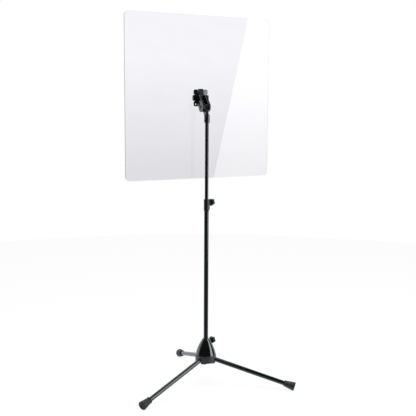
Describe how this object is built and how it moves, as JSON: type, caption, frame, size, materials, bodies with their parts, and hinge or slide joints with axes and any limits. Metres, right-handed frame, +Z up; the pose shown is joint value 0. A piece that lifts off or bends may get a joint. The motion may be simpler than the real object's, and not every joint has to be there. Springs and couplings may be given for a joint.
{
  "type": "acrylic shield with stand",
  "caption": "Clear square acrylic sound shield on a tilting head, carried by a telescoping round pole with a die-cast tripod base, folding legs and rubber feet.",
  "frame": {"origin": "on the floor, at the middle of the box round the whole object; the pole's axis stands at x 0.0152, y -0.0661", "axes": "+X along the panel's width, +Y from the pole to the panel, +Z up"},
  "size_m": [0.7294, 0.6634, 1.62],
  "materials": {
    "gloss_black_tube": "gloss black powder coat on steel tube",
    "gloss_black_casting": "gloss black paint on a die casting",
    "satin_casting": "satin dark grey paint on a die casting",
    "black_plastic": "moulded black nylon, fine grain",
    "grey_nylon": "plain moulded nylon",
    "black_rubber": "matt moulded rubber",
    "zinc_steel": "zinc plated",
    "black_steel": "black oxide",
    "clear_acrylic": "clear cast acrylic with polished edges"
  },
  "bodies": {
    "base": {"bell_housing": "gloss_black_casting", "leg_hub": "satin_casting", "hub_screw_1": "zinc_steel", "hub_screw_2": "zinc_steel", "hub_screw_3": "zinc_steel", "pole_bush": "grey_nylon", "pivot_pin_right": "zinc_steel", "pivot_pin_back": "zinc_steel", "pivot_pin_left": "zinc_steel"},
    "leg_right": {"leg_root_right": "satin_casting", "leg_tube_right": "gloss_black_tube", "rubber_foot_right": "black_rubber"},
    "leg_back": {"leg_root_back": "satin_casting", "leg_tube_back": "gloss_black_tube", "rubber_foot_back": "black_rubber"},
    "leg_left": {"leg_root_left": "satin_casting", "leg_tube_left": "gloss_black_tube", "rubber_foot_left": "black_rubber"},
    "base_clamp": {"base_knob": "black_plastic", "base_knob_screw": "zinc_steel"},
    "post": {"lower_tube": "gloss_black_tube", "lock_plug": "black_plastic", "clutch_sleeve": "black_plastic", "clutch_liner": "grey_nylon"},
    "height_clamp": {"clutch_knob": "black_plastic", "clutch_knob_screw": "zinc_steel"},
    "guide": {"guide_plug": "grey_nylon"},
    "mast": {"upper_tube": "gloss_black_tube", "head_neck": "satin_casting", "socket_screw": "black_steel"},
    "shield": {"tilt_fork": "satin_casting", "tilt_bolt": "black_steel", "tilt_nut": "zinc_steel", "friction_washer_right": "grey_nylon", "friction_washer_left": "grey_nylon", "panel_bracket": "satin_casting", "bracket_screw": "zinc_steel", "bracket_pad": "black_rubber", "acrylic_panel": "clear_acrylic", "panel_washer_right": "black_plastic", "panel_washer_top": "black_plastic", "panel_washer_left": "black_plastic", "panel_washer_bottom": "black_plastic", "panel_screw_right": "black_steel", "panel_screw_top": "black_steel", "panel_screw_left": "black_steel", "panel_screw_bottom": "black_steel"}
  },
  "joints": [
    {"name": "leg_right_fold", "type": "hinge", "parent": "base", "child": "leg_right", "pos_m": [0.03846, -0.08504, 0.12155], "axis": [0.632, 0.7749, 0], "range_deg": [0, 74]},
    {"name": "leg_back_fold", "type": "hinge", "parent": "base", "child": "leg_back", "pos_m": [0.02, -0.03646, 0.12155], "axis": [-0.9871, 0.1599, 0], "range_deg": [0, 74]},
    {"name": "leg_left_fold", "type": "hinge", "parent": "base", "child": "leg_left", "pos_m": [-0.01284, -0.07673, 0.12155], "axis": [0.3551, -0.9348, 0], "range_deg": [0, 74]},
    {"name": "pole_lift", "type": "slide", "parent": "base", "child": "post", "axis": [0, 0, 1], "range_m": [0, 0.016]},
    {"name": "base_knob_turn", "type": "hinge", "parent": "base", "child": "base_clamp", "pos_m": [0.01521, -0.06608, 0.19407], "axis": [0.9348, 0.3551, 0], "range_deg": [0, 360]},
    {"name": "height_knob_turn", "type": "hinge", "parent": "post", "child": "height_clamp", "pos_m": [0.01521, -0.06608, 0.81913], "axis": [0.9348, 0.3551, 0], "range_deg": [0, 360]},
    {"name": "height_slide", "type": "slide", "parent": "post", "child": "guide", "axis": [0, 0, 1], "range_m": [-0.325, 0.2]},
    {"name": "mast_swivel", "type": "hinge", "parent": "guide", "child": "mast", "pos_m": [0.01521, -0.06608, 0.83443], "axis": [0, 0, 1], "continuous": true},
    {"name": "head_tilt", "type": "hinge", "parent": "mast", "child": "shield", "pos_m": [0.01521, -0.04508, 1.23103], "axis": [1, 0, 0], "range_deg": [-9, 90]}
  ],
  "couplings": [
    {"joint": "leg_back_fold", "follows": "leg_right_fold", "ratio": 1},
    {"joint": "leg_left_fold", "follows": "leg_right_fold", "ratio": 1},
    {"joint": "pole_lift", "follows": "leg_right_fold", "m_per_rad": 0.01236}
  ]
}
